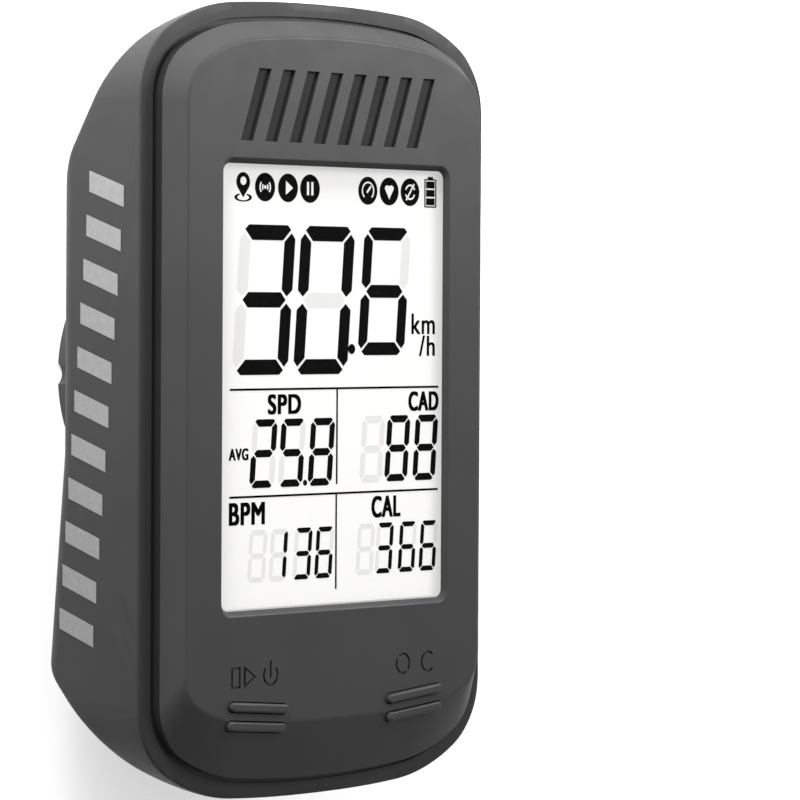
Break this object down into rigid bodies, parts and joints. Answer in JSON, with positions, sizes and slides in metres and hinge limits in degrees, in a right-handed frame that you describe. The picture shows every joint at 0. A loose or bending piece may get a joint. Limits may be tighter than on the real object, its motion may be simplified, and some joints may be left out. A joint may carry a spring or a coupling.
{
  "type": "cycling computer",
  "caption": "Handlebar cycling computer with a recessed segment display, a bevelled cover, two ribbed keys, a rubber port cover and a quarter-turn mount on the back.",
  "frame": {"origin": "centre of the quarter-turn mount's lowest face", "axes": "+Z out of the screen, +Y to the device's forward end, +X to the rider's right"},
  "size_m": [0.0516, 0.0812, 0.0265],
  "materials": {
    "adhesive": "film",
    "black_plastic": "moulded",
    "board": "solder mask",
    "cell": "laminate pouch",
    "ceramic": "fired, silver pad",
    "chip": "moulded epoxy",
    "cover_plastic": "fine moulded texture, satin",
    "foam": "closed-cell foam",
    "housing_plastic": "fine moulded texture, satin",
    "key_rubber": "smooth, matt",
    "lcd": "reflective display, light grey",
    "lead": "insulated wire",
    "led": "clear resin",
    "lens": "hard coated, low gloss",
    "light_guide": "clear, polished",
    "mount_plastic": "glass-filled nylon",
    "polyimide": "film",
    "port_rubber": "smooth, matt",
    "seal_rubber": "smooth, matt",
    "steel": "stainless",
    "tin": "tin plated",
    "white_plastic": "moulded"
  },
  "bodies": {
    "root": {"backlight_guide": "light_guide", "backlight_leds": "led", "battery": "cell", "battery_connector": "white_plastic", "battery_leads": "lead", "battery_pad": "foam", "board_passives": "ceramic", "board_screws": "steel", "buzzer": "black_plastic", "display_driver": "chip", "display_frame": "white_plastic", "display_lens": "lens", "flex_connector": "black_plastic", "front_cover": "cover_plastic", "gps_antenna": "ceramic", "housing_screws": "steel", "housing_seal": "seal_rubber", "lcd_flex": "polyimide", "lcd_glass": "lcd", "lens_adhesive": "adhesive", "main_board": "board", "memory_chip": "chip", "mount_plate": "mount_plastic", "mount_screws": "steel", "port_cover_anchor": "port_rubber", "power_chip": "chip", "processor": "chip", "processor_shield": "tin", "radio_antenna": "ceramic", "radio_module": "tin", "rear_housing": "housing_plastic", "tact_switch_left": "black_plastic", "tact_switch_right": "black_plastic", "usb_board": "board", "usb_connector": "tin"},
    "button_left": {"button_left": "key_rubber"},
    "button_right": {"button_right": "key_rubber"},
    "plunger_left": {"switch_plunger_left": "white_plastic"},
    "plunger_right": {"switch_plunger_right": "white_plastic"},
    "port_cover": {"port_cover": "port_rubber"}
  },
  "joints": [
    {"name": "button_left_press", "type": "slide", "parent": "root", "child": "button_left", "axis": [0, 0, -1], "range_m": [0, 0.0004], "stiffness_N_per_m": 1500},
    {"name": "button_right_press", "type": "slide", "parent": "root", "child": "button_right", "axis": [0, 0, -1], "range_m": [0, 0.0004], "stiffness_N_per_m": 1500},
    {"name": "plunger_left_press", "type": "slide", "parent": "root", "child": "plunger_left", "axis": [0, 0, -1], "range_m": [0, 0.0004]},
    {"name": "plunger_right_press", "type": "slide", "parent": "root", "child": "plunger_right", "axis": [0, 0, -1], "range_m": [0, 0.0004]},
    {"name": "port_cover_hinge", "type": "hinge", "parent": "root", "child": "port_cover", "pos_m": [0, -0.03352, 0.01366], "axis": [-1, 0, 0], "range_deg": [0, 95], "stiffness_Nm_per_rad": 0.002}
  ],
  "couplings": [
    {"joint": "plunger_left_press", "follows": "button_left_press", "ratio": 1},
    {"joint": "plunger_right_press", "follows": "button_right_press", "ratio": 1}
  ]
}
